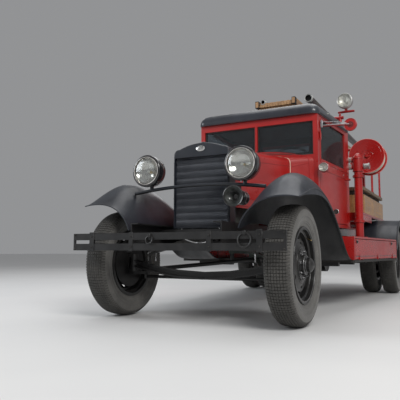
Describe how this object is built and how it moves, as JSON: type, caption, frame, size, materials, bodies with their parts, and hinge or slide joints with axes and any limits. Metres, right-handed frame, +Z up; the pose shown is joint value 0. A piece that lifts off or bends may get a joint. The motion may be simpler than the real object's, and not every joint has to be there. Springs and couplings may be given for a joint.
{
  "type": "fire engine",
  "caption": "Red 1930s fire engine on a light lorry chassis: closed cab, ladder and suction tubes on a rack, hose reel, standpipe, tail pump and bench seats.",
  "frame": {"origin": "On the ground, at the middle of the vehicle's overall length and width.", "axes": "+X to the vehicle's left, +Y to its rear, +Z up; the front bumper faces -Y."},
  "size_m": [2.08, 5.295, 2.2449],
  "materials": {
    "fire_red": "glossy fire red enamel",
    "wing_black": "glossy black enamel",
    "chassis_black": "satin black paint",
    "wheel_black": "satin black enamel",
    "board_black": "ribbed black rubber mat",
    "spring_steel": "dull black paint on spring steel",
    "engine_iron": "grey-green cast iron",
    "core_grey": "dull dark grey",
    "window_glass": "clear flat glass",
    "lamp_glass": "fluted clear glass",
    "lamp_black": "glossy black enamel",
    "seat_leather": "worn dark brown leathercloth",
    "wheel_rim_black": "black moulded rim",
    "bench_wood": "varnished honey-brown planks",
    "ladder_wood": "oiled ash",
    "tyre_rubber": "dusty black tread rubber"
  },
  "bodies": {
    "chassis": {"chassis_frame": "chassis_black", "front_axle": "chassis_black", "springs": "spring_steel", "rear_axle": "chassis_black", "bonnet_rod": "chassis_black", "engine_block": "engine_iron", "radiator_shell": "wing_black", "radiator_core": "core_grey", "cab_shell": "fire_red", "cab_roof": "wing_black", "cab_glass": "window_glass", "cab_seat": "seat_leather", "steering_column": "chassis_black", "front_wings": "wing_black", "rear_wings": "wing_black", "running_boards": "board_black", "side_lockers": "fire_red", "front_bumper": "chassis_black", "headlamp_bar": "wing_black", "headlamps": "lamp_black", "headlamp_lenses": "lamp_glass", "horn": "lamp_black", "side_lamps": "fire_red", "body_deck": "fire_red", "benches": "bench_wood", "equipment_frame": "fire_red", "ladder": "ladder_wood", "suction_tubes": "fire_red", "standpipe": "fire_red", "fire_pump": "fire_red"},
    "steering_left": {"knuckle_left": "chassis_black"},
    "steering_right": {"knuckle_right": "chassis_black"},
    "tie_bar": {"tie_rod": "chassis_black"},
    "hand_wheel": {"steering_wheel": "wheel_rim_black"},
    "front_left": {"wheel_front_left": "wheel_black", "tyre_front_left": "tyre_rubber"},
    "front_right": {"wheel_front_right": "wheel_black", "tyre_front_right": "tyre_rubber"},
    "rear_left": {"wheels_rear_left": "wheel_black", "tyres_rear_left": "tyre_rubber"},
    "rear_right": {"wheels_rear_right": "wheel_black", "tyres_rear_right": "tyre_rubber"},
    "bonnet_half_left": {"bonnet_left": "fire_red"},
    "bonnet_half_right": {"bonnet_right": "fire_red"},
    "cab_door_left": {"door_left": "fire_red", "door_glass_left": "window_glass", "mirror": "fire_red"},
    "cab_door_right": {"door_right": "fire_red", "door_glass_right": "window_glass"},
    "lid_left": {"locker_lid_left": "fire_red"},
    "lid_right": {"locker_lid_right": "fire_red"},
    "reel": {"hose_reel": "fire_red"},
    "search_head": {"searchlight": "fire_red"}
  },
  "joints": [
    {"name": "steer_left", "type": "hinge", "parent": "chassis", "child": "steering_left", "pos_m": [0.62, -2.1425, 0.413], "axis": [0, 0, 1], "range_deg": [-28, 28]},
    {"name": "steer_right", "type": "hinge", "parent": "chassis", "child": "steering_right", "pos_m": [-0.62, -2.1425, 0.413], "axis": [0, 0, 1], "range_deg": [-28, 28]},
    {"name": "tie_rod_pivot", "type": "hinge", "parent": "steering_left", "child": "tie_bar", "pos_m": [0.62, -1.9775, 0.297], "axis": [0, 0, 1], "range_deg": [-28, 28]},
    {"name": "steering_wheel_turn", "type": "hinge", "parent": "chassis", "child": "hand_wheel", "pos_m": [0.29, -0.7475, 1.345], "axis": [0, 0.7193, 0.6947], "range_deg": [-364, 364]},
    {"name": "wheel_front_left_spin", "type": "hinge", "parent": "steering_left", "child": "front_left", "pos_m": [0.7025, -2.1425, 0.413], "axis": [1, 0, 0], "continuous": true},
    {"name": "wheel_front_right_spin", "type": "hinge", "parent": "steering_right", "child": "front_right", "pos_m": [-0.7025, -2.1425, 0.413], "axis": [1, 0, 0], "continuous": true},
    {"name": "wheels_rear_left_spin", "type": "hinge", "parent": "chassis", "child": "rear_left", "pos_m": [0.8, 1.1975, 0.413], "axis": [1, 0, 0], "continuous": true},
    {"name": "wheels_rear_right_spin", "type": "hinge", "parent": "chassis", "child": "rear_right", "pos_m": [-0.8, 1.1975, 0.413], "axis": [1, 0, 0], "continuous": true},
    {"name": "bonnet_left_lift", "type": "hinge", "parent": "chassis", "child": "bonnet_half_left", "pos_m": [0, -2.0675, 1.313], "axis": [0, -0.9952, -0.0976], "range_deg": [0, 65]},
    {"name": "bonnet_right_lift", "type": "hinge", "parent": "chassis", "child": "bonnet_half_right", "pos_m": [0, -2.0675, 1.313], "axis": [0, 0.9952, 0.0976], "range_deg": [0, 65]},
    {"name": "door_left_swing", "type": "hinge", "parent": "chassis", "child": "cab_door_left", "pos_m": [0.60653, -0.98019, 1.279], "axis": [0, 0, -1], "range_deg": [0, 65]},
    {"name": "door_right_swing", "type": "hinge", "parent": "chassis", "child": "cab_door_right", "pos_m": [-0.60653, -0.98019, 1.279], "axis": [0, 0, 1], "range_deg": [0, 65]},
    {"name": "locker_left_drop", "type": "hinge", "parent": "chassis", "child": "lid_left", "pos_m": [0.87083, -0.85116, 0.442], "axis": [0.1097, 0.994, 0], "range_deg": [0, 90]},
    {"name": "locker_right_drop", "type": "hinge", "parent": "chassis", "child": "lid_right", "pos_m": [-0.87083, -0.85116, 0.442], "axis": [0.1097, -0.994, 0], "range_deg": [0, 90]},
    {"name": "hose_reel_spin", "type": "hinge", "parent": "chassis", "child": "reel", "pos_m": [0.83, 0.1075, 1.538], "axis": [0, 1, 0], "continuous": true},
    {"name": "searchlight_swivel", "type": "hinge", "parent": "chassis", "child": "search_head", "pos_m": [0.628, 0.1075, 2.161], "axis": [0, 0, 1], "range_deg": [-150, 150]}
  ],
  "couplings": [
    {"joint": "steer_right", "follows": "steer_left", "ratio": 1},
    {"joint": "tie_rod_pivot", "follows": "steer_left", "ratio": -1},
    {"joint": "steering_wheel_turn", "follows": "steer_left", "ratio": 13}
  ]
}
